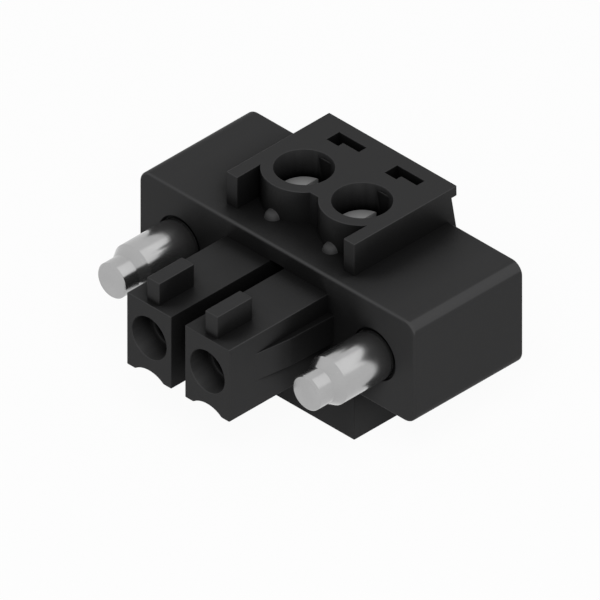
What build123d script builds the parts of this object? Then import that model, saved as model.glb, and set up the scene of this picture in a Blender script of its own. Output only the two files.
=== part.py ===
from build123d import *
from math import radians, tan
import os

# Plug half of a board connector: two poles, a screw clamp for each wire, and a
# captive screw in a flange at each end.
# X runs along the row of poles, -Y is the mating side and +Z is up. The origin is the
# middle of the underside of the box that holds the whole plug. All sizes are in mm.

os.makedirs("parts", exist_ok=True)

# Row of poles
pitch = 3.81
pole_count = 2
row_length = pitch * (pole_count - 1)
pole_places = [number * pitch - row_length / 2 for number in range(pole_count)]

# Clearances
cage_gap = 0.08
contact_gap = 0.05
thread_gap = 0.05
neck_gap = 0.05
rest_gap = 0.10
shoulder_gap = 0.20
tip_gap = 0.05
overlap = 0.5

# Clamp cage, a folded steel ring with a tapped top
cage_width = 3.00
cage_depth = 3.80
cage_side = 0.50
cage_top = 1.20
cage_floor = 0.70
cage_corner = 0.30
wire_space = 2.20
tooth_count = 5
tooth_depth = 0.15
tooth_pitch = 0.62

# Clamp screw
clamp_thread_r = 1.00
clamp_lead = 0.40
clamp_turns = 5
clamp_head_r = 1.31
clamp_head_height = 1.31
clamp_head_edge = 0.05
clamp_length = 4.91
clamp_tip_r = 0.65
clamp_tip_length = 0.30
clamp_slot_width = 0.55
clamp_slot_depth = 0.70
clamp_travel = clamp_lead * clamp_turns

# Socket contact, bent from one strip
strip = 0.45
socket_width = 1.95
socket_height = 2.20
socket_length = 2.30
socket_setback = 0.30
arm_width = 1.20
arm_strip = 0.30
arm_reach = 4.85
pinch_reach = 4.15
arm_root = 2.70
pinch_half_gap = 0.36
mouth_half_gap = 0.70
arm_bend = 0.35
bar_bend = 0.35
bar_width = 1.70
ramp_start = 0.95
ramp_length = 0.62
guard_place = 5.95
guard_height = 0.85

# Centre body of the housing
end_wall = 0.715
body_front = 0.88
body_reach = 9.62
body_drop = 3.59
body_width = row_length + cage_width + 2 * cage_gap + 2 * end_wall
rear_lean = 9.8
rear_wall_place = 7.30
roof_start_drop = 1.65
roof_end_drop = 2.56
funnel = 0.25
funnel_lean = 45

# Raised plate with the screw bosses
plate_rise = 1.79
lip_height = 0.55
lip_overhang = 0.32
boss_r = 2.05
access_r = 1.44
screw_setback = 3.69
web_lead = 1.25
head_sink = 1.43
rib_place = 1.375
rib_sink = 0.325
rib_height = 1.70
rib_half_width = 0.50
bead_r = 0.395

# Marker pockets in the raised plate, each an L beside its pole
pocket_left = 0.845
pocket_right = 0.925
pocket_back = 3.15
pocket_bar = 0.48
pocket_leg = 0.33
pocket_leg_width = 0.745
pocket_depth = 1.60

# Flange block
flange_height = 5.70
flange_depth = 7.15
flange_end_r = 0.69
flange_edge_r = 0.15
flange_margin = 2.635
mating_drop = 2.89

# Captive flange screw
flange_screw_offset = 4.50
flange_thread_r = 1.25
flange_bore_r = 1.355
neck_r = 1.00
collar_start = 0.25
collar_length = 0.70
dog_r = 0.92
dog_edge = 0.08
cone_start = 3.02
cone_end = 3.55
dog_end = 4.48
head_seat = 4.90
head_r = 1.90
head_height = 1.60
head_edge = 0.15
head_bore_r = 2.10
slot_width = 0.60
slot_depth = 0.80

# Fingers that enter the header
finger_width = 2.90
finger_reach = 6.48
finger_top_drop = 0.995
finger_height = 4.055
mouth_r = 1.13
mouth_depth = 1.15
throat_r = 0.77
throat_length = 0.33
throat_edge = 0.12
scoop_width = 1.864
scoop_depth = 0.32
gap_recess_depth = 1.00
gap_recess_rise = 0.08

# Coding tab on each finger
tab_width = 0.81
tab_length = 2.29
tab_setback = 0.27
tab_height = 1.245

# Gusset on the outer side of each end finger
gusset_width = 0.375
gusset_tip_width = 0.175
gusset_height = 1.54
gusset_drop = 2.03
gusset_straight = 4.585
gusset_reach = 4.85

# Levels, up from the underside
flange_bottom_z = body_drop
flange_top_z = flange_bottom_z + flange_height
plate_top_z = flange_top_z + plate_rise
mating_z = flange_top_z - mating_drop
finger_top_z = flange_top_z - finger_top_drop
clamp_head_top_z = plate_top_z - head_sink
clamp_head_bottom_z = clamp_head_top_z - clamp_head_height
clamp_tip_z = clamp_head_top_z - clamp_length
bar_top_z = clamp_tip_z - tip_gap
bar_bottom_z = bar_top_z - strip
cage_window_top_z = bar_top_z + rest_gap
cage_top_z = cage_window_top_z + cage_top
cage_window_bottom_z = bar_bottom_z - wire_space
cage_bottom_z = cage_window_bottom_z - cage_floor
chamber_floor_z = cage_bottom_z - rest_gap
chamber_top_z = cage_top_z + clamp_travel + rest_gap
passage_top_z = cage_top_z + rest_gap

# Places along Y
front_y = (finger_reach - body_reach) / 2
finger_front_y = front_y - finger_reach
body_front_y = front_y + body_front
body_rear_y = front_y + body_reach
flange_rear_y = front_y + flange_depth
screw_y = front_y + screw_setback
chamber_front_y = screw_y - cage_depth / 2 - cage_gap
tunnel_front_y = finger_front_y + mouth_depth + throat_length

# Widths and places along X
chamber_width = cage_width + 2 * cage_gap
tunnel_width = socket_width + 2 * contact_gap
tunnel_height = socket_height + 2 * contact_gap
flange_screw_place = row_length / 2 + flange_screw_offset
flange_width = 2 * (flange_screw_place + flange_margin)


def side_plane(x):
    """Upright plane across the row at x: its own x runs along Y, its y runs up."""
    return Plane(origin=(x, 0, 0), x_dir=(0, 1, 0), z_dir=(1, 0, 0))


def front_plane(y):
    """Upright plane along the row at y, facing the mating side."""
    return Plane.XZ.offset(-y)


def rear_wall_y(z):
    """Place of the leaning rear wall at height z."""
    lip_z = plate_top_z - lip_height
    return front_y + rear_wall_place + (lip_z - z) * tan(radians(rear_lean))


# Housing: one black moulding
with BuildPart() as housing:

    # Flange block with rounded ends and a fine rounding round its front and rear faces
    with BuildSketch(front_plane(flange_rear_y)):
        with Locations((0, (flange_bottom_z + flange_top_z) / 2)):
            RectangleRounded(flange_width, flange_height, flange_end_r)
    extrude(amount=flange_depth)
    flat_faces = faces().sort_by(Axis.Y)
    fillet(flat_faces[0].edges() + flat_faces[-1].edges(), radius=flange_edge_r)

    # Centre body, from the underside to the raised plate with its rear lip
    lip_bottom_z = plate_top_z - lip_height
    lip_y = rear_wall_y(lip_bottom_z) + lip_overhang
    roof_start_z = flange_top_z - roof_start_drop
    roof_end_z = flange_top_z - roof_end_drop
    with BuildSketch(side_plane(0)):
        with BuildLine():
            Polyline(
                (body_front_y, 0),
                (body_rear_y, 0),
                (body_rear_y, roof_end_z),
                (rear_wall_y(roof_start_z), roof_start_z),
                (rear_wall_y(lip_bottom_z), lip_bottom_z),
                (lip_y, lip_bottom_z),
                (lip_y, plate_top_z),
                (body_front_y, plate_top_z),
                close=True,
            )
        make_face()
    extrude(amount=body_width / 2, both=True)

    # Room between the end walls in front of the bosses
    web_y = screw_y - web_lead
    with BuildSketch(Plane.XY.offset(plate_top_z)):
        with Locations((0, (web_y + body_front_y - overlap) / 2)):
            Rectangle(body_width - 2 * end_wall, web_y - body_front_y + overlap)
        with Locations([(x, screw_y) for x in pole_places]):
            Circle(boss_r, mode=Mode.SUBTRACT)
    extrude(amount=-plate_rise, mode=Mode.SUBTRACT)

    # Small bead at the foot of each boss
    with Locations([(x, screw_y - boss_r, flange_top_z) for x in pole_places]):
        Sphere(bead_r)

    # Fingers, each with a round scoop along its underside
    scoop_r = (scoop_width**2 / 4 + scoop_depth**2) / (2 * scoop_depth)
    finger_bottom_z = finger_top_z - finger_height
    with BuildSketch(front_plane(front_y + overlap)):
        with Locations([(x, finger_top_z - finger_height / 2) for x in pole_places]):
            Rectangle(finger_width, finger_height)
        with Locations([(x, finger_bottom_z + scoop_depth - scoop_r) for x in pole_places]):
            Circle(scoop_r, mode=Mode.SUBTRACT)
    extrude(amount=finger_reach + overlap)

    # Recess in the flange's front, which carries on the gap between the fingers
    recess_height = finger_height + gap_recess_rise
    with BuildSketch(front_plane(front_y)):
        with Locations((0, finger_bottom_z + recess_height / 2)):
            Rectangle(pitch - finger_width, recess_height)
    extrude(amount=-gap_recess_depth, mode=Mode.SUBTRACT)

    # Coding tab standing on each finger
    tab_y = finger_front_y + tab_setback + tab_length / 2
    with BuildSketch(Plane.XY.offset(finger_top_z)):
        with Locations([(x, tab_y) for x in pole_places]):
            Rectangle(tab_width, tab_length)
    extrude(amount=tab_height)

    # Gusset on the outer side of each end finger, thinner towards its bevelled end
    finger_side = row_length / 2 + finger_width / 2
    with BuildSketch(Plane.XY.offset(flange_top_z - gusset_drop)):
        with BuildLine():
            Polyline(
                (finger_side - overlap, front_y + overlap),
                (finger_side + gusset_width, front_y + overlap),
                (finger_side + gusset_width, front_y),
                (finger_side + gusset_tip_width, front_y - gusset_straight),
                (finger_side, front_y - gusset_reach),
                (finger_side - overlap, front_y - gusset_reach),
                close=True,
            )
        make_face()
        mirror(about=Plane.YZ)
    extrude(amount=-gusset_height)

    for x in pole_places:
        # Room for the clamp cage, and the passage that the wire and cage come in by
        with BuildSketch(side_plane(x)):
            with BuildLine():
                chamber_rear_y = screw_y + cage_depth / 2 + cage_gap
                Polyline(
                    (chamber_front_y, chamber_floor_z),
                    (body_rear_y, chamber_floor_z),
                    (body_rear_y, passage_top_z),
                    (chamber_rear_y, passage_top_z),
                    (chamber_rear_y, chamber_top_z),
                    (chamber_front_y, chamber_top_z),
                    close=True,
                )
            make_face()
        extrude(amount=chamber_width / 2, both=True, mode=Mode.SUBTRACT)

        # Tunnel for the contact, deeper where its bar ramps down
        with BuildSketch(side_plane(x)):
            with BuildLine():
                tunnel_top_z = mating_z + tunnel_height / 2
                tunnel_bottom_z = mating_z - tunnel_height / 2
                well_y = front_y + ramp_start - contact_gap
                Polyline(
                    (tunnel_front_y, tunnel_bottom_z),
                    (well_y, tunnel_bottom_z),
                    (well_y, bar_bottom_z - contact_gap),
                    (chamber_front_y, bar_bottom_z - contact_gap),
                    (chamber_front_y, tunnel_top_z),
                    (tunnel_front_y, tunnel_top_z),
                    close=True,
                )
            make_face()
        extrude(amount=tunnel_width / 2, both=True, mode=Mode.SUBTRACT)

        # Round mouth of the finger and the narrower throat behind it
        with BuildSketch(Plane.XY.offset(mating_z)):
            with BuildLine():
                step_y = finger_front_y + mouth_depth
                Polyline(
                    (x, finger_front_y),
                    (x + mouth_r, finger_front_y),
                    (x + mouth_r, step_y),
                    (x + throat_r + throat_edge, step_y),
                    (x + throat_r, step_y + throat_edge),
                    (x + throat_r, tunnel_front_y),
                    (x, tunnel_front_y),
                    close=True,
                )
            make_face()
        revolve(axis=Axis((x, 0, mating_z), (0, 1, 0)), mode=Mode.SUBTRACT)

        # Screwdriver access through the boss
        with BuildSketch(Plane.XY.offset(plate_top_z)):
            with Locations((x, screw_y)):
                Circle(access_r)
        extrude(amount=chamber_top_z - plate_top_z, mode=Mode.SUBTRACT)

        # Tapered rib at the back of the access bore
        rib_top_z = plate_top_z - rib_sink
        with BuildSketch(side_plane(x)):
            with BuildLine():
                Polyline(
                    (screw_y + rib_place, rib_top_z),
                    (screw_y + access_r + rib_sink, rib_top_z),
                    (screw_y + access_r + rib_sink, rib_top_z - rib_height),
                    (screw_y + access_r, rib_top_z - rib_height),
                    close=True,
                )
            make_face()
        extrude(amount=rib_half_width, both=True)

        # Marker pocket behind the boss: a bar with a short leg towards the boss
        pocket_far_y = screw_y + pocket_back
        with BuildSketch(Plane.XY.offset(plate_top_z)):
            with BuildLine():
                Polyline(
                    (x - pocket_left, pocket_far_y),
                    (x + pocket_right, pocket_far_y),
                    (x + pocket_right, pocket_far_y - pocket_bar),
                    (x - pocket_left + pocket_leg_width, pocket_far_y - pocket_bar),
                    (x - pocket_left + pocket_leg_width, pocket_far_y - pocket_bar - pocket_leg),
                    (x - pocket_left, pocket_far_y - pocket_bar - pocket_leg),
                    close=True,
                )
            make_face()
        extrude(amount=-pocket_depth, mode=Mode.SUBTRACT)

    # Funnel edge round each wire entry
    passage_height = passage_top_z - chamber_floor_z
    with BuildSketch(front_plane(body_rear_y)):
        with Locations([(x, chamber_floor_z + passage_height / 2) for x in pole_places]):
            Rectangle(chamber_width + 2 * funnel, passage_height + 2 * funnel)
    extrude(amount=funnel, taper=funnel_lean, mode=Mode.SUBTRACT)

    # Stepped bore for each flange screw: relief, collar, clearance, head recess
    for x in (-flange_screw_place, flange_screw_place):
        collar_y = front_y + collar_start
        seat_y = front_y + head_seat
        with BuildSketch(Plane.XY.offset(mating_z)):
            with BuildLine():
                Polyline(
                    (x, front_y),
                    (x + flange_bore_r, front_y),
                    (x + flange_bore_r, collar_y),
                    (x + neck_r + neck_gap, collar_y),
                    (x + neck_r + neck_gap, collar_y + collar_length),
                    (x + flange_bore_r, collar_y + collar_length),
                    (x + flange_bore_r, seat_y),
                    (x + head_bore_r, seat_y),
                    (x + head_bore_r, flange_rear_y),
                    (x, flange_rear_y),
                    close=True,
                )
            make_face()
        revolve(axis=Axis((x, 0, mating_z), (0, 1, 0)), mode=Mode.SUBTRACT)

housing.part.label = "housing"
export_step(housing.part, "parts/housing.step")


# Socket contact of each pole: a box with two spring arms, and the bar under the screw
for number, x in enumerate(pole_places, start=1):
    contact_plane = Plane(origin=(x, front_y, mating_z), x_dir=(0, 1, 0), z_dir=(1, 0, 0))
    socket_half = socket_height / 2
    wall_inner = socket_half - strip
    bar_drop = mating_z - bar_bottom_z
    guard_top = bar_drop - strip - guard_height

    with BuildPart() as contact:

        # Box that the pin passes through
        with BuildSketch(front_plane(front_y - socket_setback)):
            with Locations((x, mating_z)):
                Rectangle(socket_width, socket_height)
                Rectangle(socket_width - 2 * strip, socket_height - 2 * strip, mode=Mode.SUBTRACT)
        extrude(amount=socket_length)

        # Spring arms that close on the pin and open again at the mouth
        with BuildSketch(contact_plane):
            with BuildLine():
                FilletPolyline(
                    (-arm_reach, -mouth_half_gap),
                    (-pinch_reach, -pinch_half_gap),
                    (-arm_root, -wall_inner),
                    (-socket_length, -wall_inner),
                    radius=arm_bend,
                )
                offset(amount=arm_strip, side=Side.RIGHT)
            make_face()
            mirror(about=Plane.XZ)
        extrude(amount=arm_width / 2, both=True)

        # Current bar: back from the box floor, down the ramp, then the turned-up guard
        with BuildSketch(contact_plane):
            with BuildLine():
                FilletPolyline(
                    (-socket_length / 2, -socket_half),
                    (ramp_start, -socket_half),
                    (ramp_start + ramp_length, -bar_drop),
                    (guard_place + strip, -bar_drop),
                    (guard_place + strip, -guard_top),
                    radius=bar_bend,
                )
                offset(amount=strip, side=Side.LEFT)
            make_face()
        extrude(amount=bar_width / 2, both=True)

    contact.part.label = f"contact_{number}"
    export_step(contact.part, f"parts/contact_{number}.step")


# Clamp cage of each pole: it rises as the screw is turned in
for number, x in enumerate(pole_places, start=1):
    cage_height = cage_top_z - cage_bottom_z
    window_height = cage_window_top_z - cage_window_bottom_z

    with BuildPart() as clamp_cage:
        with BuildSketch(front_plane(screw_y + cage_depth / 2)):
            with Locations((x, cage_bottom_z + cage_height / 2)):
                RectangleRounded(cage_width, cage_height, cage_corner)
            with Locations((x, cage_window_bottom_z + window_height / 2)):
                Rectangle(cage_width - 2 * cage_side, window_height, mode=Mode.SUBTRACT)
        extrude(amount=cage_depth)

        # Teeth that bite the wire: grooves across the floor
        with BuildSketch(side_plane(x)):
            with Locations((screw_y, cage_window_bottom_z)):
                with GridLocations(tooth_pitch, 0, tooth_count, 1):
                    with BuildLine():
                        Polyline((-tooth_depth, 0), (0, -tooth_depth), (tooth_depth, 0), close=True)
                    make_face()
        extrude(amount=cage_width / 2 - cage_side, both=True, mode=Mode.SUBTRACT)

        # Tapped hole
        with BuildSketch(Plane.XY.offset(cage_top_z)):
            with Locations((x, screw_y)):
                Circle(clamp_thread_r)
        extrude(amount=-cage_top, mode=Mode.SUBTRACT)

    clamp_cage.part.label = f"clamp_cage_{number}"
    export_step(clamp_cage.part, f"parts/clamp_cage_{number}.step")


# Clamp screw of each pole: slotted cheese head, its tip standing on the current bar
for number, x in enumerate(pole_places, start=1):
    with BuildPart() as clamp_screw:
        shank_r = clamp_thread_r - thread_gap
        with BuildSketch(Plane(origin=(x, screw_y, 0), x_dir=(1, 0, 0), z_dir=(0, -1, 0))):
            with BuildLine():
                Polyline(
                    (0, clamp_tip_z),
                    (clamp_tip_r, clamp_tip_z),
                    (shank_r, clamp_tip_z + clamp_tip_length),
                    (shank_r, clamp_head_bottom_z),
                    (clamp_head_r, clamp_head_bottom_z),
                    (clamp_head_r, clamp_head_top_z),
                    (0, clamp_head_top_z),
                    close=True,
                )
            make_face()
        revolve(axis=Axis((x, screw_y, 0), (0, 0, 1)))
        chamfer(faces().sort_by(Axis.Z)[-1].edges(), length=clamp_head_edge)

        with BuildSketch(Plane.XY.offset(clamp_head_top_z)):
            with Locations((x, screw_y)):
                Rectangle(clamp_slot_width, 2 * clamp_head_r)
        extrude(amount=-clamp_slot_depth, mode=Mode.SUBTRACT)

    clamp_screw.part.label = f"clamp_screw_{number}"
    export_step(clamp_screw.part, f"parts/clamp_screw_{number}.step")


# Flange screws: dog point, thread that ends at the collar, neck and slotted head
for side, x in (("left", -flange_screw_place), ("right", flange_screw_place)):
    with BuildPart() as flange_screw:
        shoulder_y = front_y + collar_start - shoulder_gap
        head_front_y = front_y + head_seat + rest_gap
        head_rear_y = head_front_y + head_height
        with BuildSketch(Plane.XY.offset(mating_z)):
            with BuildLine():
                Polyline(
                    (x, front_y - dog_end),
                    (x + dog_r, front_y - dog_end),
                    (x + dog_r, front_y - cone_end),
                    (x + flange_thread_r, front_y - cone_start),
                    (x + flange_thread_r, shoulder_y),
                    (x + neck_r, shoulder_y),
                    (x + neck_r, head_front_y),
                    (x + head_r, head_front_y),
                    (x + head_r, head_rear_y),
                    (x, head_rear_y),
                    close=True,
                )
            make_face()
        revolve(axis=Axis((x, 0, mating_z), (0, 1, 0)))
        chamfer(faces().sort_by(Axis.Y)[0].edges(), length=dog_edge)
        chamfer(faces().sort_by(Axis.Y)[-1].edges(), length=head_edge)

        with BuildSketch(front_plane(head_rear_y)):
            with Locations((x, mating_z)):
                Rectangle(slot_width, 2 * head_r)
        extrude(amount=slot_depth, mode=Mode.SUBTRACT)

    flange_screw.part.label = f"flange_screw_{side}"
    export_step(flange_screw.part, f"parts/flange_screw_{side}.step")
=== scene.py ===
from math import copysign, cos, radians, sin, tan

import bmesh
import bpy
from mathutils import Matrix, Vector


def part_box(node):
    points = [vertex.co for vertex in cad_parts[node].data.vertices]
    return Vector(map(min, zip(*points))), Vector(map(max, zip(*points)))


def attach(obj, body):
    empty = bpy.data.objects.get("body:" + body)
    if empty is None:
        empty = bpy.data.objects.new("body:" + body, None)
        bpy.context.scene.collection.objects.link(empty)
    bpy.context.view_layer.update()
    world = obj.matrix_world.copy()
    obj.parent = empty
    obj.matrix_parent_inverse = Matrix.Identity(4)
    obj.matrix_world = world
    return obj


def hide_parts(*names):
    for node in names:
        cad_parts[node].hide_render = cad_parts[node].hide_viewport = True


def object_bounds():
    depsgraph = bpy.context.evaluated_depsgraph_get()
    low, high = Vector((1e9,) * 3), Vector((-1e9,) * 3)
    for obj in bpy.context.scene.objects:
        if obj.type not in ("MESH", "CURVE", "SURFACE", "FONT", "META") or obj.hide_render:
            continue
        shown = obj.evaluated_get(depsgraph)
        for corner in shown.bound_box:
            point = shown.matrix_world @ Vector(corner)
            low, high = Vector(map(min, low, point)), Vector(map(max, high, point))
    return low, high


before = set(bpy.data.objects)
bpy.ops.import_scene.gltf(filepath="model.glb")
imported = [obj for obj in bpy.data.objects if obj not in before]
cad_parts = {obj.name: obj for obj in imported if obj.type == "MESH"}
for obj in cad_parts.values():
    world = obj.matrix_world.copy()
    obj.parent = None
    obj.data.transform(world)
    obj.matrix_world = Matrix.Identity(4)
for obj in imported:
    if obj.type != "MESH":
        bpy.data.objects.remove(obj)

bl_info = {
    "name": "Two-pole plug connector",
    "version": (1, 0, 0),
    "blender": (4, 5, 0),
    "location": "3D View > Sidebar > Connector",
    "description": "Finishes of a pluggable screw-clamp connector with screw flanges, and its studio",
    "category": "Object",
}

MM = 0.001

# The object's own box, straight after the frame is loaded
CAD_LOW, CAD_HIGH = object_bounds()

# Faces that meet at more than the sharp angle have an edge, and at less than the flat one they merge
SHARP_ANGLE = radians(32)
FLAT_ANGLE = radians(0.6)
WELD_DISTANCE = 1e-7

# How near a corner lies to a boss's wall, and how squarely its face looks away from the axis
WALL_REACH = 1e-6
WALL_FACING = 0.9

# Segments of a rounded edge, and of a turned piece around its axis
ROUNDING_SEGMENTS = 2
TURNED_SEGMENTS = 96

# Rounded corners of a turned profile: the largest share of a side that a rounding takes, its steps,
# and the least slope that its radius is divided by
LARGEST_SHARE = 0.45
CORNER_STEPS = 5
LEAST_SLOPE = 1e-6

# Length of the box that cuts a screwdriver slot, in radii of the head
CUTTER_LENGTH = 3

Y_AXIS, Z_AXIS = 1, 2
POLES = (1, 2)
SIDES = ("left", "right")

BLACK = (0, 0, 0, 1)
WHITE = (1, 1, 1, 1)


# Shader maths as Python expressions

class Value:
    """One shader socket. An expression on values adds the Math nodes that work it out."""

    def __init__(self, shader, socket):
        self.shader = shader
        self.socket = socket

    def maths(self, operation, *values):
        return self.shader.add("ShaderNodeMath", {"operation": operation}, dict(enumerate(values)))

    def __add__(self, other):
        return self.maths("ADD", self, other)

    def __radd__(self, other):
        return self.maths("ADD", other, self)

    def __sub__(self, other):
        return self.maths("SUBTRACT", self, other)

    def __rsub__(self, other):
        return self.maths("SUBTRACT", other, self)

    def __mul__(self, other):
        return self.maths("MULTIPLY", self, other)

    def __rmul__(self, other):
        return self.maths("MULTIPLY", other, self)

    def __truediv__(self, other):
        return self.maths("DIVIDE", self, other)

    def __pow__(self, other):
        return self.maths("POWER", self, other)

    def __abs__(self):
        return self.maths("ABSOLUTE", self)

    def __lt__(self, other):
        return self.maths("LESS_THAN", self, other)

    def __gt__(self, other):
        return self.maths("GREATER_THAN", self, other)

    def at_most(self, other):
        return self.maths("MINIMUM", self, other)

    def at_least(self, other):
        return self.maths("MAXIMUM", self, other)

    def swapped(self, mask, other):
        """This value where the mask is 0, and the other one where it is 1."""
        return self + mask * (other - self)


# Sockets of the Mix node that carry colours
FIRST_COLOUR, SECOND_COLOUR, MIXED_COLOUR = 6, 7, 2

# Rays that measure the openness of a place
OPENNESS_SAMPLES = 8

# Largest part of a direction that leans 45 degrees
LEANING = 0.5 ** 0.5

# Middle value of a noise
NOISE_MIDDLE = 0.5


class Shader:
    """A node material or world that is built up node by node."""

    def __init__(self, owner):
        owner.use_nodes = True
        self.tree = owner.node_tree
        self.tree.nodes.clear()

    def add(self, kind, settings=None, inputs=None, output=0):
        """Adds a node: its settings first, a ramp's stops among them, then values or links."""
        node = self.tree.nodes.new(kind)
        for name, setting in (settings or {}).items():
            if name == "stops":
                self.set_stops(node.color_ramp, setting)
            else:
                setattr(node, name, setting)
        for name, value in (inputs or {}).items():
            if isinstance(value, Value):
                self.tree.links.new(value.socket, node.inputs[name])
            else:
                node.inputs[name].default_value = value
        return Value(self, node.outputs[output]) if node.outputs else None

    def set_stops(self, ramp, stops):
        while len(ramp.elements) < len(stops):
            ramp.elements.new(1)
        for element, (place, grey) in zip(ramp.elements, stops):
            element.position = place
            element.color = (grey, grey, grey, 1)

    def axes(self):
        """The place in the object's own frame in millimetres, as a vector and as X, Y and Z."""
        place = self.add("ShaderNodeTexCoord", output="Object")
        scaled = self.add("ShaderNodeVectorMath", {"operation": "SCALE"}, {0: place, "Scale": 1 / MM})
        return scaled, self.parts(scaled)

    def normal(self):
        """X, Y and Z of the surface's direction, from -1 to 1."""
        return self.parts(self.add("ShaderNodeNewGeometry", output="Normal"))

    def parts(self, vector):
        split = self.add("ShaderNodeSeparateXYZ", inputs={0: vector}).socket.node
        return [Value(self, part) for part in split.outputs]

    def openness(self, reach, only_local=True):
        """1 on open faces, less where walls stand closer than the reach, and 0 in closed corners."""
        settings = {"samples": OPENNESS_SAMPLES, "only_local": only_local}
        return self.add("ShaderNodeAmbientOcclusion", settings, {"Distance": reach}, output="AO")

    def curve(self, share, stops):
        """The share, from 0 to 1, as the stops translate it."""
        return self.add("ShaderNodeValToRGB", {"stops": stops}, {"Fac": share})

    def upper_rounding(self):
        """0 on faces square to the part's axes, up to 1 on roundings that lean 45 degrees upwards."""
        x, y, z = self.normal()
        flatness = abs(x).at_least(abs(y)).at_least(abs(z))
        upwards = (z / LEANING).at_least(0).at_most(1)
        return (1 - flatness) / (1 - LEANING) * upwards

    def noise(self, place, per_mm, detail=2.0, roughness=0.5):
        """Soft noise from 0 to 1 with about that many blotches to a millimetre."""
        inputs = {"Vector": place, "Scale": per_mm, "Detail": detail, "Roughness": roughness}
        return self.add("ShaderNodeTexNoise", inputs=inputs)

    def mix(self, share, first, second):
        """The first colour where share is 0, and the second where it is 1."""
        inputs = {0: share, FIRST_COLOUR: first, SECOND_COLOUR: second}
        return self.add("ShaderNodeMix", {"data_type": "RGBA"}, inputs, output=MIXED_COLOUR)

    def bump(self, height, depth_mm, strength=1.0):
        """Surface direction of a relief of that depth."""
        inputs = {"Height": height, "Distance": depth_mm * MM, "Strength": strength}
        return self.add("ShaderNodeBump", inputs=inputs)

    def surface(self, **sockets):
        """Principled surface, its sockets named with underscores for spaces."""
        inputs = {name.replace("_", " "): value for name, value in sockets.items()}
        body = self.add("ShaderNodeBsdfPrincipled", inputs=inputs)
        self.add("ShaderNodeOutputMaterial", inputs={"Surface": body})


def opaque(colour):
    return (*colour, 1)


def new_shader(name):
    material = bpy.data.materials.new(name)
    return material, Shader(material)


# Finishes

# Painted shade of moulded faces and of bores: tones from closed corners at 0 to open places at 1
PAINTED_SHADE_CURVE = ((0, 0.02), (0.25, 0.1), (0.55, 0.2), (0.75, 0.31), (0.84, 0.72), (0.92, 0.97), (1, 1))
BORE_SHADE_CURVE = ((0, 0), (0.5, 0.08), (0.75, 0.5), (1, 1))

# Painted highlight on the large roundings of the flange's ends, from their rims at 0 to their middle
END_HIGHLIGHT_CURVE = ((0.15, 0), (0.3, 1))

# Millimetres over which the nooks between fingers and flange screws, where other pieces add painted shade,
# fade out
NOOK_FADE = 2.2

# How squarely the top of a bore's rib looks up
RIB_TOP_FACING = 0.9

# How near the skin of a bead lies to its radius, in millimetres
BEAD_SKIN = 0.02

# How much noises change the roughness: soft patches, fine marks, and the patches and marks of sheet
PATCH_CHANGE = 0.10
FINE_CHANGE = 0.06
SHEET_PATCH_CHANGE = 0.16
SHEET_MARK_CHANGE = 0.10

# Rolling marks are close to each other across the strip and long along it
ROLLING_ACROSS = 6
ROLLING_ALONG = 0.6


def moulded_plastic(look):
    """Black moulded polyamide: fine spark-eroded grain, faint flow mottling, painted shade in crevices and
    painted highlights on roundings.
    """
    material, shader = new_shader("black_moulded_plastic")
    place, (x, y, z) = shader.axes()
    grain = shader.noise(place, look.grain_per_mm, detail=3)
    mottling = shader.noise(place, look.mottling_per_mm, detail=2)
    tone = painted_shade_tone(look, shader, x, y, z)
    flats = shader.mix(mottling, opaque(look.colour), opaque(look.mottled_colour))
    # Painted highlight: roundings that lean upwards, and a band in the middle of the flange's end
    # roundings, are paler
    rounding = shader.upper_rounding()
    on_end = abs(x) > (CAD_HIGH[0] - look.end_rounding) / MM
    painted_highlight = (rounding ** look.highlight_spread).swapped(on_end, shader.curve(rounding, END_HIGHLIGHT_CURVE))
    highlighted_colour = shader.mix(painted_highlight, flats, opaque(look.painted_highlight_colour))
    # Painted shade: the shade colour is mixed into the base colour where the tone falls in corners, bores
    # and mouths
    shader.surface(
        Base_Color=shader.mix(tone, opaque(look.painted_shade_colour), highlighted_colour),
        Roughness=uneven(look.roughness, mottling, PATCH_CHANGE, grain, FINE_CHANGE),
        Specular_IOR_Level=look.gloss,
        Normal=shader.bump(grain, look.grain_depth),
    )
    return material


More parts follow.
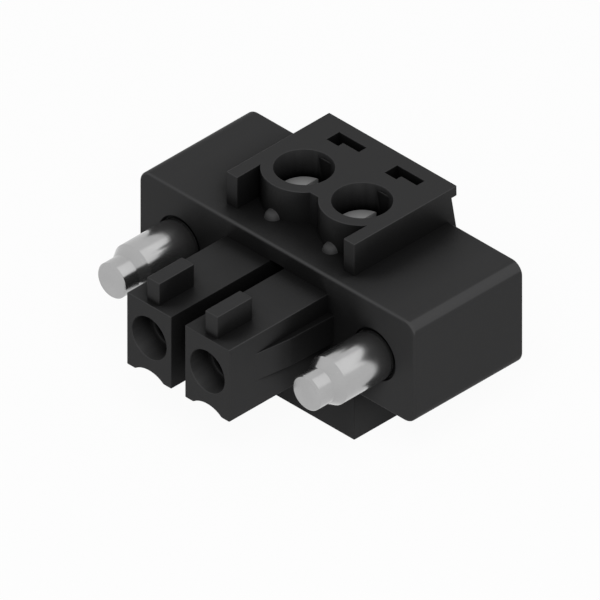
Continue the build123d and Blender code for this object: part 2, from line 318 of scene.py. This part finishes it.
def painted_shade_tone(look, shader, x, y, z):
    """Painted shade of a moulded face: 1 on open faces, less in corners and bores, 0 where they close."""
    pole_low, pole_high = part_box("clamp_screw_2")
    pole_x, pole_y = ((pole_low + pole_high) / 2 / MM).xy
    mating_low, mating_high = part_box("flange_screw_right")
    mating_z = (mating_low.z + mating_high.z) / 2 / MM
    across, along = abs(x) - pole_x, y - pole_y
    depth = CAD_HIGH[2] / MM - z
    up = shader.normal()[2]

    # Walls of the screw bores, with the ribs at their back in darker painted shade, and the tops of the
    # ribs painted light
    bore_distance = distance_from(across, along)
    in_bore = bore_distance < look.bore_wall / MM
    on_rib = in_bore * (bore_distance < look.rib_wall / MM)
    rib_top = in_bore * (up > RIB_TOP_FACING) * (depth < look.rib_floor / MM)

    # Round walls of the finger mouths, with their own painted shade, and the beads at the feet of the
    # bosses, painted light
    before_throat = y < (CAD_LOW[1] + look.mouth_end) / MM
    in_mouth = (distance_from(across, z - mating_z) < look.mouth_wall / MM) * before_throat
    beside_bead = distance_from(across, along + look.bead_place / MM)
    bead_distance = distance_from(beside_bead, depth - look.bead_drop / MM)
    on_bead = abs(bead_distance - look.bead_radius / MM) < BEAD_SKIN

    # Painted shade: in the nooks between fingers and flange screws other pieces count as walls too, but
    # not the floor
    openness = shader.openness(look.shade_reach)
    beside_screw = ((look.nook_outside / MM - abs(x)) / NOOK_FADE).at_least(0).at_most(1)
    behind_point = ((y + look.nook_front / MM) / NOOK_FADE).at_least(0).at_most(1)
    in_nook = beside_screw * behind_point * (z > (CAD_LOW[2] + look.shade_reach) / MM)
    among_pieces = openness.swapped(in_nook, shader.openness(look.shade_reach, only_local=False))
    close_openness = shader.openness(look.bore_reach, only_local=False)
    tone = shader.curve(among_pieces, PAINTED_SHADE_CURVE)
    # Painted shade in the screw bores, deeper where the screw heads stand close
    tone = tone.swapped(in_bore, openness * shader.curve(close_openness, BORE_SHADE_CURVE))
    tone = tone.swapped(on_rib, look.rib_shade * tone)
    # Painted shade in the finger mouths, from how open their walls are
    tone = tone.swapped(in_mouth, openness ** look.mouth_shade_power)
    # Painted light: the beads and the ribs' tops keep a light tone, whatever stands round them
    return tone.swapped((on_bead + rib_top).at_most(1), look.bead_and_rib_top_light)


def turned_metal(name, look, axis, middle):
    """Plated turned metal: rings from the tool follow the axis on sides and ends alike, and painted shade
    darkens it near other pieces.
    """
    material, shader = new_shader(name)
    place, parts = shader.axes()
    first, second = [parts[other] - middle[other] / MM for other in range(3) if other != axis]
    tool_path = parts[axis] + distance_from(first, second)
    ring_place = shader.add("ShaderNodeCombineXYZ", inputs={0: tool_path})
    tool_marks = shader.noise(ring_place, look.marks_per_mm, detail=2, roughness=0.6)
    clouding = shader.noise(place, look.clouding_per_mm, detail=3)
    tint = shader.mix(clouding, opaque(look.colour), opaque(look.clouded_colour))
    # Painted shade: the colour goes towards black where other pieces stand close
    openness = shader.openness(look.shade_reach, only_local=False)
    shader.surface(
        Base_Color=shader.mix(openness ** look.shade_power, BLACK, tint),
        Metallic=look.metallic,
        Roughness=uneven(look.roughness, clouding, PATCH_CHANGE, tool_marks, FINE_CHANGE),
        Normal=shader.bump(tool_marks, look.mark_depth),
    )
    return material


def plated_sheet(name, look):
    """Plated strip or folded sheet: rolling marks along it and a faint clouding."""
    material, shader = new_shader(name)
    place, (x, y, z) = shader.axes()
    stretched = {0: ROLLING_ACROSS * x, 1: ROLLING_ALONG * y, 2: ROLLING_ACROSS * z}
    rolling_place = shader.add("ShaderNodeCombineXYZ", inputs=stretched)
    rolling = shader.noise(rolling_place, look.marks_per_mm, detail=3, roughness=0.6)
    clouding = shader.noise(place, look.clouding_per_mm, detail=3)
    shader.surface(
        Base_Color=shader.mix(clouding, opaque(look.colour), opaque(look.clouded_colour)),
        Metallic=look.metallic,
        Roughness=uneven(look.roughness, clouding, SHEET_PATCH_CHANGE, rolling, SHEET_MARK_CHANGE),
        Normal=shader.bump(rolling, look.mark_depth),
    )
    return material


def distance_from(first, second):
    """Distance from an axis, from the offsets along the two directions across it."""
    return (first ** 2 + second ** 2) ** 0.5


def uneven(roughness, patches, patch_change, marks, mark_change):
    """A roughness that two noises change up and down."""
    return roughness + patch_change * (patches - NOISE_MIDDLE) + mark_change * (marks - NOISE_MIDDLE)


# Meshes

def add_object(name, data):
    """A new object in the scene's collection."""
    made = bpy.data.objects.new(name, data)
    bpy.context.scene.collection.objects.link(made)
    return made


def link_piece(name, mesh, node, body, material):
    """Adds a piece that stands for a node and moves with its body."""
    piece = add_object(name, mesh)
    mesh.materials.clear()
    mesh.materials.append(material)
    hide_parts(node)
    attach(piece, body)


def shade_by_angle(mesh):
    """Smooth shading that stops at every edge sharper than the sharp angle."""
    mesh.polygons.foreach_set("use_smooth", [True] * len(mesh.polygons))
    mesh.set_sharp_from_angle(angle=SHARP_ANGLE)


def mark_outer_edges(mesh, shortest):
    """Bevel weights on the sharp outer edges, leaving out those that meet at very short ones."""
    shape = bmesh.new()
    shape.from_mesh(mesh)
    weight = shape.edges.layers.float.new("bevel_weight_edge")
    sharp = {edge for edge in shape.edges if edge.is_manifold and edge.calc_face_angle() > SHARP_ANGLE}
    crowded = {corner for edge in sharp if edge.calc_length() < shortest for corner in edge.verts}
    for edge in sharp:
        if edge.is_convex and not crowded.intersection(edge.verts):
            edge[weight] = 1
    shape.to_mesh(mesh)
    shape.free()


def modified_mesh(holder):
    """A new mesh with the modifiers of its holder in it. The holder is taken out."""
    depsgraph = bpy.context.evaluated_depsgraph_get()
    mesh = bpy.data.meshes.new_from_object(holder.evaluated_get(depsgraph))
    bpy.data.objects.remove(holder)
    return mesh


def break_edges(mesh, width):
    """The mesh with its sharp outer edges rounded over that width."""
    mark_outer_edges(mesh, 2 * width)
    holder = add_object("edge_break", mesh)
    rounding = holder.modifiers.new("rounding", "BEVEL")
    rounding.width = width
    rounding.segments = ROUNDING_SEGMENTS
    rounding.limit_method = "WEIGHT"
    rounding.miter_outer = "MITER_ARC"
    rounding.harden_normals = True
    rounding.use_clamp_overlap = False
    return modified_mesh(holder)


def drop_folded_faces(mesh):
    """Takes out faces on the same corners, back to back, which roundings leave in narrow gaps."""
    shape = bmesh.new()
    shape.from_mesh(mesh)
    bmesh.ops.remove_doubles(shape, verts=shape.verts, dist=WELD_DISTANCE)
    by_corners = {}
    for face in shape.faces:
        by_corners.setdefault(frozenset(face.verts), []).append(face)
    folded = [face for group in by_corners.values() if len(group) > 1 for face in group]
    bmesh.ops.delete(shape, geom=folded, context="FACES")
    shape.to_mesh(mesh)
    shape.free()


def welded_copy(node):
    """A node's mesh with its seams closed and its flat faces whole."""
    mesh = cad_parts[node].data.copy()
    shape = bmesh.new()
    shape.from_mesh(mesh)
    bmesh.ops.remove_doubles(shape, verts=shape.verts, dist=WELD_DISTANCE)
    bmesh.ops.dissolve_limit(
        shape, angle_limit=FLAT_ANGLE, use_dissolve_boundaries=False,
        verts=shape.verts, edges=shape.edges,
    )
    shape.to_mesh(mesh)
    shape.free()
    return mesh


def taper_gussets(mesh, sizes):
    """Moves the knee of each side gusset back and out, so that it grows evenly out of its finger."""
    knee_y = CAD_LOW[1] + sizes.gusset_knee
    for vertex in mesh.vertices:
        if abs(vertex.co.y - knee_y) < sizes.knee_reach:
            vertex.co.y += sizes.gusset_shift
            vertex.co.x += copysign(sizes.gusset_growth, vertex.co.x)


def round_boss_walls(mesh, sizes):
    """Turns the shading of the bosses' walls straight away from their axes, also by the beads."""
    pole_low, pole_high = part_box("clamp_screw_2")
    pole_x, pole_y = ((pole_low + pole_high) / 2).xy
    foot_z = CAD_HIGH[2] - sizes.boss_height
    directions = [corner.vector.copy() for corner in mesh.corner_normals]
    for face in mesh.polygons:
        for number in face.loop_indices:
            place = mesh.vertices[mesh.loops[number].vertex_index].co
            outwards = Vector((place.x - copysign(pole_x, place.x), place.y - pole_y, 0))
            from_wall = abs(outwards.length - sizes.boss_radius)
            on_wall = place.z > foot_z - WALL_REACH and from_wall < WALL_REACH
            if on_wall and face.normal.dot(outwards.normalized()) > WALL_FACING:
                directions[number] = outwards.normalized()
    mesh.normals_split_custom_set(directions)


def turned_mesh(name, profile, across, along):
    """A closed turned mesh. The profile lists (distance along, radius) from end to end."""
    side = along.cross(across)
    shape = bmesh.new()
    rings = []
    for distance, radius in profile:
        if radius == 0:
            rings.append([shape.verts.new(along * distance)])
            continue
        ring = []
        for number in range(TURNED_SEGMENTS):
            turn = radians(360 * number / TURNED_SEGMENTS)
            outwards = cos(turn) * across + sin(turn) * side
            ring.append(shape.verts.new(along * distance + radius * outwards))
        rings.append(ring)
    for first, second in zip(rings, rings[1:]):
        for number in range(TURNED_SEGMENTS):
            after = (number + 1) % TURNED_SEGMENTS
            corners = [first[number % len(first)], first[after % len(first)]]
            corners += [second[after % len(second)], second[number % len(second)]]
            shape.faces.new(list(dict.fromkeys(corners)))
    bmesh.ops.recalc_face_normals(shape, faces=shape.faces)
    mesh = bpy.data.meshes.new(name)
    shape.to_mesh(mesh)
    shape.free()
    return mesh


def rounded_corner(profile_point, before, after, radius):
    """Points of the curve that rounds one corner of a profile."""
    corner = Vector(profile_point)
    side_before = Vector(before) - corner
    side_after = Vector(after) - corner
    half = side_before.angle(side_after) / 2
    longest = LARGEST_SHARE * min(side_before.length, side_after.length)
    reach = min(radius / max(tan(half), LEAST_SLOPE), longest)
    start = corner + side_before.normalized() * reach
    end = corner + side_after.normalized() * reach
    points = []
    for number in range(CORNER_STEPS + 1):
        share = number / CORNER_STEPS
        points.append((start.lerp(corner, share)).lerp(corner.lerp(end, share), share))
    return [(point.x, point.y) for point in points]


def rounded_profile(profile, radius):
    """A profile with every corner off the axis rounded."""
    points = [profile[0]]
    for before, corner, after in zip(profile, profile[1:], profile[2:]):
        points += rounded_corner(corner, before, after, radius)
    return points + [profile[-1]]


def cut_slot(mesh, centre, size):
    """The mesh with a box cut out of it, for a screwdriver slot."""
    cutter_mesh = bpy.data.meshes.new("slot")
    shape = bmesh.new()
    bmesh.ops.create_cube(shape, size=1)
    bmesh.ops.scale(shape, vec=size, verts=shape.verts)
    bmesh.ops.translate(shape, vec=centre, verts=shape.verts)
    shape.to_mesh(cutter_mesh)
    shape.free()
    cutter = add_object("slot", cutter_mesh)
    blank = add_object("blank", mesh)
    cut = blank.modifiers.new("slot", "BOOLEAN")
    cut.object = cutter
    cut.operation = "DIFFERENCE"
    cut.solver = "EXACT"
    slotted = modified_mesh(blank)
    bpy.data.objects.remove(cutter)
    return slotted


def unit_vector(axis):
    return Vector([float(number == axis) for number in range(3)])


def turn_screw(name, node, metal_name, profile, axis, look, sizes):
    """Adds a slotted screw, turned from its profile on its node's axis."""
    low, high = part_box(node)
    middle = (low + high) / 2
    profile = rounded_profile(profile, look.edge_round)
    mesh = turned_mesh(node, profile, unit_vector((axis + 1) % 3), unit_vector(axis))
    seat, slot_centre = list(middle), list(middle)
    seat[axis] = 0
    slot_centre[axis] = high[axis]
    mesh.transform(Matrix.Translation(seat))

    # The cutter's middle lies on the head's end, so that half of its depth cuts
    cutter_length = CUTTER_LENGTH * (high.x - low.x) / 2
    slot_size = [sizes.slot_width, cutter_length, cutter_length]
    slot_size[axis] = 2 * sizes.slot_depth
    mesh = cut_slot(mesh, slot_centre, slot_size)
    shade_by_angle(mesh)
    metal = turned_metal(metal_name, look, axis, middle)
    link_piece(name, mesh, node, node, metal)


# Sizes and colours that a user may change

def colour_setting(name, description, default):
    return bpy.props.FloatVectorProperty(
        name=name, description=description, default=default, subtype="COLOR", size=3, min=0, max=1
    )


def length_setting(name, description, millimetres):
    return bpy.props.FloatProperty(
        name=name, description=description, default=millimetres * MM, unit="LENGTH", min=0, precision=6
    )


def share_setting(name, description, default):
    return bpy.props.FloatProperty(
        name=name, description=description, default=default, subtype="FACTOR", min=0, max=1
    )


def plain_setting(name, description, default):
    return bpy.props.FloatProperty(name=name, description=description, default=default, min=0)


# Description of the metals' mirroring
MIRROR_SHARE = "Share of the surface that mirrors, the rest being haze"


class PlasticLook(bpy.types.PropertyGroup):
    colour: colour_setting("Colour", "Colour of the black moulding", (0.0205, 0.0205, 0.0208))
    mottled_colour: colour_setting("Mottling", "Colour of the paler flow marks", (0.0225, 0.0225, 0.0228))
    # Painted shade: this colour stands for the shade deep in corners, slots and bores, not for a darker
    # plastic
    painted_shade_colour: colour_setting("Crevices", "Colour deep in corners and slots", (0.0, 0.0, 0.0))
    # Painted highlight: this paler colour on the roundings stands for light falling on them, not for
    # polish
    painted_highlight_colour: colour_setting("Edges", "Colour of the polished roundings", (0.035, 0.035, 0.0355))
    end_rounding: length_setting("End rounding", "Rounding of the flange's ends", 0.69)
    nook_outside: length_setting("Nook outside", "Distance from the middle where a screw's nook ends", 7.2)
    nook_front: length_setting("Nook front", "Distance before the middle where a screw's nook ends", 6.2)
    # Painted highlight: how closely it keeps to the edge
    highlight_spread: plain_setting("Edge spread", "How closely the paler tone keeps to the edge", 0.45)
    # Painted shade: how far from a wall a corner is painted darker, and the same inside bores
    shade_reach: length_setting("Crevice reach", "How far from a wall a corner darkens", 3.2)
    bore_reach: length_setting("Bore reach", "The same inside bores and mouths", 1.2)
    rib_wall: length_setting("Rib wall", "Radius that takes in the faces of the bore ribs", 1.432)
    rib_floor: length_setting("Rib floor", "Depth that takes in the tops of the bore ribs", 0.5)
    # Painted shade: the ribs are painted darker than the bore's wall
    rib_shade: share_setting("Rib tone", "Tone of the ribs against the bore's wall", 0.5)
    bead_place: length_setting("Bead place", "Distance of a bead from its boss's axis", 2.05)
    bead_drop: length_setting("Bead drop", "Depth of a bead's middle under the plate's top", 1.79)
    bead_radius: length_setting("Bead radius", "Radius of a bead", 0.395)
    # Painted light: the beads and the tops of the ribs are painted nearly as light as open faces
    bead_and_rib_top_light: share_setting("Bead tone", "Tone of the beads and of the ribs' tops", 0.85)
    # Painted shade: how fast a finger's mouth is painted darker
    mouth_shade_power: plain_setting("Mouth strength", "How fast a finger's mouth darkens", 0.8)
    bore_wall: length_setting("Bore wall", "Radius that takes in the screw bore's wall", 1.46)
    mouth_wall: length_setting("Mouth wall", "Radius that takes in the finger mouth's wall", 1.15)
    mouth_end: length_setting("Mouth end", "Depth of the finger mouth", 1.20)
    roughness: share_setting("Roughness", "Roughness of the moulded skin", 0.46)
    gloss: share_setting("Gloss", "Strength of the skin's reflection", 0.04)
    grain_per_mm: plain_setting("Grain", "Grain bumps to a millimetre", 14)
    grain_depth: plain_setting("Grain depth", "Depth of the grain in millimetres", 0.0022)
    mottling_per_mm: plain_setting("Mottling scale", "Flow marks to a millimetre", 0.55)
    edge_round: length_setting("Edge rounding", "Rounding of the moulding's edges", 0.045)


class MetalSettings:
    """Settings of every metal piece."""

    clouding_per_mm: plain_setting("Clouding scale", "Cloudy patches to a millimetre", 1.2)
    mark_depth: plain_setting("Mark depth", "Depth of the marks in millimetres", 0.0008)
    edge_round: length_setting("Edge rounding", "Rounding of the metal's edges", 0.03)


class TurnedMetalSettings(MetalSettings):
    """Settings of the turned pieces, whose colour is painted darker towards the walls round them."""

    # Painted shade: how far from walls and how fast the metal is painted darker
    shade_reach: length_setting("Crevice reach", "How far from a wall the metal darkens", 0.9)
    shade_power: plain_setting("Crevice strength", "How fast it darkens", 1.0)


class FlangeScrewLook(TurnedMetalSettings, bpy.types.PropertyGroup):
    colour: colour_setting("Colour", "Colour of the nickel", (0.42, 0.42, 0.42))
    clouded_colour: colour_setting("Clouding", "Colour where the nickel is duller", (0.37, 0.37, 0.37))
    metallic: share_setting("Metallic", MIRROR_SHARE, 0.97)
    roughness: share_setting("Roughness", "Roughness of the nickel", 0.20)
    marks_per_mm: plain_setting("Tool marks", "Turning rings to a millimetre", 9)


class ClampScrewLook(TurnedMetalSettings, bpy.types.PropertyGroup):
    colour: colour_setting("Colour", "Colour of the nickel", (0.42, 0.42, 0.42))
    clouded_colour: colour_setting("Clouding", "Colour where the nickel is duller", (0.37, 0.37, 0.37))
    metallic: share_setting("Metallic", MIRROR_SHARE, 0.55)
    roughness: share_setting("Roughness", "Roughness of the nickel", 0.38)
    marks_per_mm: plain_setting("Tool marks", "Turning rings to a millimetre", 7)


class CageLook(MetalSettings, bpy.types.PropertyGroup):
    colour: colour_setting("Colour", "Colour of the zinc", (0.50, 0.51, 0.52))
    clouded_colour: colour_setting("Clouding", "Colour where the zinc is duller", (0.42, 0.43, 0.44))
    metallic: share_setting("Metallic", MIRROR_SHARE, 0.80)
    roughness: share_setting("Roughness", "Roughness of the zinc", 0.34)
    marks_per_mm: plain_setting("Rolling marks", "Rolling marks to a millimetre", 5)


class ContactLook(MetalSettings, bpy.types.PropertyGroup):
    colour: colour_setting("Colour", "Colour of the tin", (0.62, 0.61, 0.58))
    clouded_colour: colour_setting("Clouding", "Colour where the tin is duller", (0.54, 0.53, 0.50))
    metallic: share_setting("Metallic", MIRROR_SHARE, 0.85)
    roughness: share_setting("Roughness", "Roughness of the tin", 0.28)
    marks_per_mm: plain_setting("Rolling marks", "Rolling marks to a millimetre", 6)


class HousingSizes(bpy.types.PropertyGroup):
    gusset_knee: length_setting("Gusset knee", "Distance of the gussets' knee from the finger tips", 1.895)
    knee_reach: length_setting("Knee reach", "How near a corner of the knee has to be", 0.02)
    gusset_shift: length_setting("Gusset shift", "How far the knee moves back", 1.885)
    gusset_growth: length_setting("Gusset growth", "How far the knee moves out", 0.11)
    boss_radius: length_setting("Boss radius", "Outer radius of the screw bosses", 2.05)
    boss_height: length_setting("Boss height", "Height of the bosses over the flange", 1.79)


class FlangeScrewSizes(bpy.types.PropertyGroup):
    dog_radius: length_setting("Dog radius", "Radius of the plain point", 0.92)
    thread_radius: length_setting("Thread radius", "Outer radius of the shank", 1.25)
    neck_radius: length_setting("Neck radius", "Radius of the neck in the collar", 1.00)
    dog_chamfer: length_setting("Dog chamfer", "Chamfer round the plain point", 0.08)
    dog_length: length_setting("Dog length", "Length of the plain point", 0.93)
    cone_length: length_setting("Cone length", "Length of the cone behind the point", 0.53)
    shank_length: length_setting("Shank length", "Length of the full shank", 3.07)
    head_height: length_setting("Head height", "Height of the cheese head", 1.60)
    head_chamfer: length_setting("Head chamfer", "Chamfer round the head's end", 0.15)
    slot_width: length_setting("Slot width", "Width of the screwdriver slot", 0.60)
    slot_depth: length_setting("Slot depth", "Depth of the screwdriver slot", 0.80)


class ClampScrewSizes(bpy.types.PropertyGroup):
    shank_radius: length_setting("Shank radius", "Radius of the shank", 0.95)
    tip_radius: length_setting("Tip radius", "Radius of the flat tip", 0.65)
    tip_length: length_setting("Tip length", "Length of the tip's cone", 0.30)
    head_height: length_setting("Head height", "Height of the cheese head", 1.31)
    head_chamfer: length_setting("Head chamfer", "Chamfer round the head's top", 0.05)
    slot_width: length_setting("Slot width", "Width of the screwdriver slot", 0.66)
    slot_depth: length_setting("Slot depth", "Depth of the screwdriver slot", 0.70)


class StudioLook(bpy.types.PropertyGroup):
    view_turn: bpy.props.FloatProperty(
        name="View turn", description="Camera's turn to the right of the mating side",
        default=radians(45), subtype="ANGLE",
    )
    view_rise: bpy.props.FloatProperty(
        name="View rise", description="Camera's height angle", default=radians(35), subtype="ANGLE"
    )
    view_width: length_setting("View width", "Width that the picture covers", 27.841)
    view_distance: length_setting("View distance", "Camera's distance", 200)
    floor_colour: colour_setting("Floor", "Colour of the paper floor", (0.50, 0.50, 0.50))
    paper_glow: share_setting("Paper glow", "Share of the floor that shows as plain white", 0.95)
    sky: plain_setting("Sky", "Strength of the even light from all round", 0.30)
    key: plain_setting("Key", "Strength of the large soft lamp by the camera", 5.2)
    glint: plain_setting("Glint", "Strength of the lamp that only reflections show", 0.30)
    rim: plain_setting("Rim", "Strength of the wide lamp above and behind", 0.3)


# The view's middle: a point on the plane of the flange's top
VIEW_CENTRE = Vector((3.7734, -3.8236, 9.29)) * MM
NEAREST_SEEN = 1 * MM

# Lamps: their directions from the object, the key's from the camera's upwards, and sizes in metres
KEY_LIFT = Vector((0, 0, 0.22))
RIM_DIRECTION = Vector((0.2, 0.9, 1.1))
GLINT_DIRECTION = Vector((0.34, 0.58, 0.74))
LAMP_DISTANCE = 0.6
KEY_SIZE = 0.3
RIM_SIZE = 0.6
GLINT_SIZE = 0.5

# The floor's sheet in metres, and its fibres
FLOOR_RADIUS = 1.5
FLOOR_SEGMENTS = 64
FIBRES_PER_MM = 3
FIBRE_DEPTH = 0.002


# Operators, one for each piece or group of like pieces

class DressHousing(bpy.types.Operator):
    """Breaks the moulding's edges and gives it its black plastic"""

    bl_idname = "connector.dress_housing"
    bl_label = "Housing"

    def execute(self, context):
        look = context.scene.plastic_look
        sizes = context.scene.housing_sizes
        mesh = welded_copy("housing")
        taper_gussets(mesh, sizes)
        mesh = break_edges(mesh, look.edge_round)
        drop_folded_faces(mesh)
        round_boss_walls(mesh, sizes)
        plastic = moulded_plastic(look)
        link_piece("moulded_housing", mesh, "housing", "housing", plastic)
        return {"FINISHED"}


class DressContacts(bpy.types.Operator):
    """Rounds the bent strip of each socket contact and tin plates it"""

    bl_idname = "connector.dress_contacts"
    bl_label = "Contacts"

    def execute(self, context):
        look = context.scene.contact_look
        tin = plated_sheet("tin_plate", look)
        for pole in POLES:
            node = f"contact_{pole}"
            mesh = break_edges(welded_copy(node), look.edge_round)
            link_piece(f"socket_contact_{pole}", mesh, node, "housing", tin)
        return {"FINISHED"}


class DressCages(bpy.types.Operator):
    """Rounds the folded edges of each clamp cage and zinc plates it"""

    bl_idname = "connector.dress_cages"
    bl_label = "Clamp cages"

    def execute(self, context):
        look = context.scene.cage_look
        zinc = plated_sheet("zinc_plate", look)
        for pole in POLES:
            node = f"clamp_cage_{pole}"
            mesh = break_edges(welded_copy(node), look.edge_round)
            link_piece(f"lifting_cage_{pole}", mesh, node, node, zinc)
        return {"FINISHED"}


class TurnClampScrews(bpy.types.Operator):
    """Turns the slotted clamp screws that stand in the bosses"""

    bl_idname = "connector.turn_clamp_screws"
    bl_label = "Clamp screws"

    def execute(self, context):
        look, sizes = context.scene.clamp_screw_look, context.scene.clamp_screw_sizes
        for pole in POLES:
            node = f"clamp_screw_{pole}"
            low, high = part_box(node)
            head_radius = (high.x - low.x) / 2
            shoulder = high.z - sizes.head_height
            profile = [
                (low.z, 0),
                (low.z, sizes.tip_radius),
                (low.z + sizes.tip_length, sizes.shank_radius),
                (shoulder, sizes.shank_radius),
                (shoulder, head_radius),
                (high.z - sizes.head_chamfer, head_radius),
                (high.z, head_radius - sizes.head_chamfer),
                (high.z, 0),
            ]
            metal_name = f"nickel_plate_{pole}"
            turn_screw(f"slotted_clamp_screw_{pole}", node, metal_name, profile, Z_AXIS, look, sizes)
        return {"FINISHED"}


class TurnFlangeScrews(bpy.types.Operator):
    """Turns the captive flange screws with their plain points"""

    bl_idname = "connector.turn_flange_screws"
    bl_label = "Flange screws"

    def execute(self, context):
        look, sizes = context.scene.flange_screw_look, context.scene.flange_screw_sizes
        for side in SIDES:
            node = f"flange_screw_{side}"
            low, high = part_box(node)
            head_radius = (high.x - low.x) / 2
            cone_front = low.y + sizes.dog_length
            shank_front = cone_front + sizes.cone_length
            shoulder = shank_front + sizes.shank_length
            head_front = high.y - sizes.head_height
            profile = [
                (low.y, 0),
                (low.y, sizes.dog_radius - sizes.dog_chamfer),
                (low.y + sizes.dog_chamfer, sizes.dog_radius),
                (cone_front, sizes.dog_radius),
                (shank_front, sizes.thread_radius),
                (shoulder, sizes.thread_radius),
                (shoulder, sizes.neck_radius),
                (head_front, sizes.neck_radius),
                (head_front, head_radius),
                (high.y - sizes.head_chamfer, head_radius),
                (high.y, head_radius - sizes.head_chamfer),
                (high.y, 0),
            ]
            metal_name = f"nickel_plate_{side}"
            turn_screw(f"captive_flange_screw_{side}", node, metal_name, profile, Y_AXIS, look, sizes)
        return {"FINISHED"}


def add_lamp(name, direction, size, power, mirrored=False):
    """A square lamp facing the object: a mirrored one shows in reflections, but gives no light."""
    light = bpy.data.lights.new(name, "AREA")
    light.shape = "SQUARE"
    light.size = size
    light.energy = power
    lamp = add_object(name, light)
    target = (Vector(CAD_LOW) + Vector(CAD_HIGH)) / 2
    lamp.location = target + direction.normalized() * LAMP_DISTANCE
    lamp.rotation_euler = (target - lamp.location).to_track_quat("-Z", "Y").to_euler()
    lamp.visible_glossy = mirrored
    lamp.visible_diffuse = not mirrored


class SetStudio(bpy.types.Operator):
    """Lays the pale floor and sets the lamps and the camera"""

    bl_idname = "connector.set_studio"
    bl_label = "Studio"

    def execute(self, context):
        look = context.scene.studio_look
        self.lay_floor(look)
        self.set_sky(look)
        self.set_camera(look)
        add_lamp("key", self.view_direction(look) + KEY_LIFT, KEY_SIZE, look.key)
        add_lamp("rim", RIM_DIRECTION, RIM_SIZE, look.rim)
        add_lamp("glint", GLINT_DIRECTION, GLINT_SIZE, look.glint, mirrored=True)
        context.scene.view_settings.view_transform = "Standard"
        return {"FINISHED"}

    def view_direction(self, look):
        """Direction from the object to the camera."""
        level = cos(look.view_rise)
        return Vector((level * sin(look.view_turn), -level * cos(look.view_turn), sin(look.view_rise)))

    def lay_floor(self, look):
        """A round sheet of paper under the object, which shows as near white."""
        mesh = bpy.data.meshes.new("floor")
        shape = bmesh.new()
        bmesh.ops.create_circle(shape, cap_ends=True, radius=FLOOR_RADIUS, segments=FLOOR_SEGMENTS)
        shape.to_mesh(mesh)
        shape.free()
        floor = add_object("floor", mesh)
        floor.location.z = CAD_LOW[2]

        material, shader = new_shader("paper")
        seen = self.seen_directly(shader)
        place, _ = shader.axes()
        fibre = shader.noise(place, FIBRES_PER_MM, detail=3)
        paper = shader.add("ShaderNodeBsdfDiffuse", inputs={
            "Color": opaque(look.floor_colour), "Normal": shader.bump(fibre, FIBRE_DEPTH),
        })
        glow = shader.add("ShaderNodeEmission", inputs={"Color": WHITE, "Strength": 1.0})
        sheet = shader.add("ShaderNodeMixShader", inputs={0: seen * look.paper_glow, 1: paper, 2: glow})
        shader.add("ShaderNodeOutputMaterial", inputs={"Surface": sheet})
        mesh.materials.append(material)

    def set_sky(self, look):
        """Even light from all round, which shows as plain white behind the object."""
        world = bpy.data.worlds.new("studio")
        bpy.context.scene.world = world
        shader = Shader(world)
        seen = self.seen_directly(shader)
        strength = look.sky + (1 - look.sky) * seen
        sky = shader.add("ShaderNodeBackground", inputs={"Color": WHITE, "Strength": strength})
        shader.add("ShaderNodeOutputWorld", inputs={"Surface": sky})

    def seen_directly(self, shader):
        """1 for rays from the camera and for reflections, and 0 for light."""
        camera = shader.add("ShaderNodeLightPath", output="Is Camera Ray")
        glossy = Value(shader, camera.socket.node.outputs["Is Glossy Ray"])
        passing = Value(shader, camera.socket.node.outputs["Is Transmission Ray"])
        return camera.at_least(glossy).at_least(passing)

    def set_camera(self, look):
        data = bpy.data.cameras.new("camera")
        data.type = "ORTHO"
        data.ortho_scale = look.view_width
        data.clip_start = NEAREST_SEEN
        camera = add_object("camera", data)
        direction = self.view_direction(look)
        camera.location = VIEW_CENTRE + direction * look.view_distance
        camera.rotation_euler = (-direction).to_track_quat("-Z", "Y").to_euler()
        bpy.context.scene.camera = camera


OPERATORS = (DressHousing, DressContacts, DressCages, TurnClampScrews, TurnFlangeScrews, SetStudio)

# What every group of settings has besides its own
INHERITED_SETTINGS = ("rna_type", "name")


class ConnectorPanel(bpy.types.Panel):
    """Lists the connector's pieces and their settings"""

    bl_idname = "VIEW3D_PT_connector"
    bl_label = "Connector"
    bl_space_type = "VIEW_3D"
    bl_region_type = "UI"
    bl_category = "Connector"

    def draw(self, context):
        for operator in OPERATORS:
            self.layout.operator(operator.bl_idname)
        for name in SETTINGS:
            box = self.layout.box()
            box.label(text=name.replace("_", " ").capitalize())
            group = getattr(context.scene, name)
            for setting in group.bl_rna.properties.keys():
                if setting not in INHERITED_SETTINGS:
                    box.prop(group, setting)


SETTINGS = {
    "plastic_look": PlasticLook,
    "flange_screw_look": FlangeScrewLook,
    "clamp_screw_look": ClampScrewLook,
    "cage_look": CageLook,
    "contact_look": ContactLook,
    "housing_sizes": HousingSizes,
    "flange_screw_sizes": FlangeScrewSizes,
    "clamp_screw_sizes": ClampScrewSizes,
    "studio_look": StudioLook,
}
CLASSES = tuple(SETTINGS.values()) + OPERATORS + (ConnectorPanel,)


def register():
    for kind in CLASSES:
        bpy.utils.register_class(kind)
    for name, group in SETTINGS.items():
        setattr(bpy.types.Scene, name, bpy.props.PointerProperty(type=group))


def unregister():
    for name in SETTINGS:
        delattr(bpy.types.Scene, name)
    for kind in reversed(CLASSES):
        bpy.utils.unregister_class(kind)


def main():
    register()
    for operator in OPERATORS:
        group, name = operator.bl_idname.split(".")
        getattr(getattr(bpy.ops, group), name)()


if __name__ == "__main__":
    main()
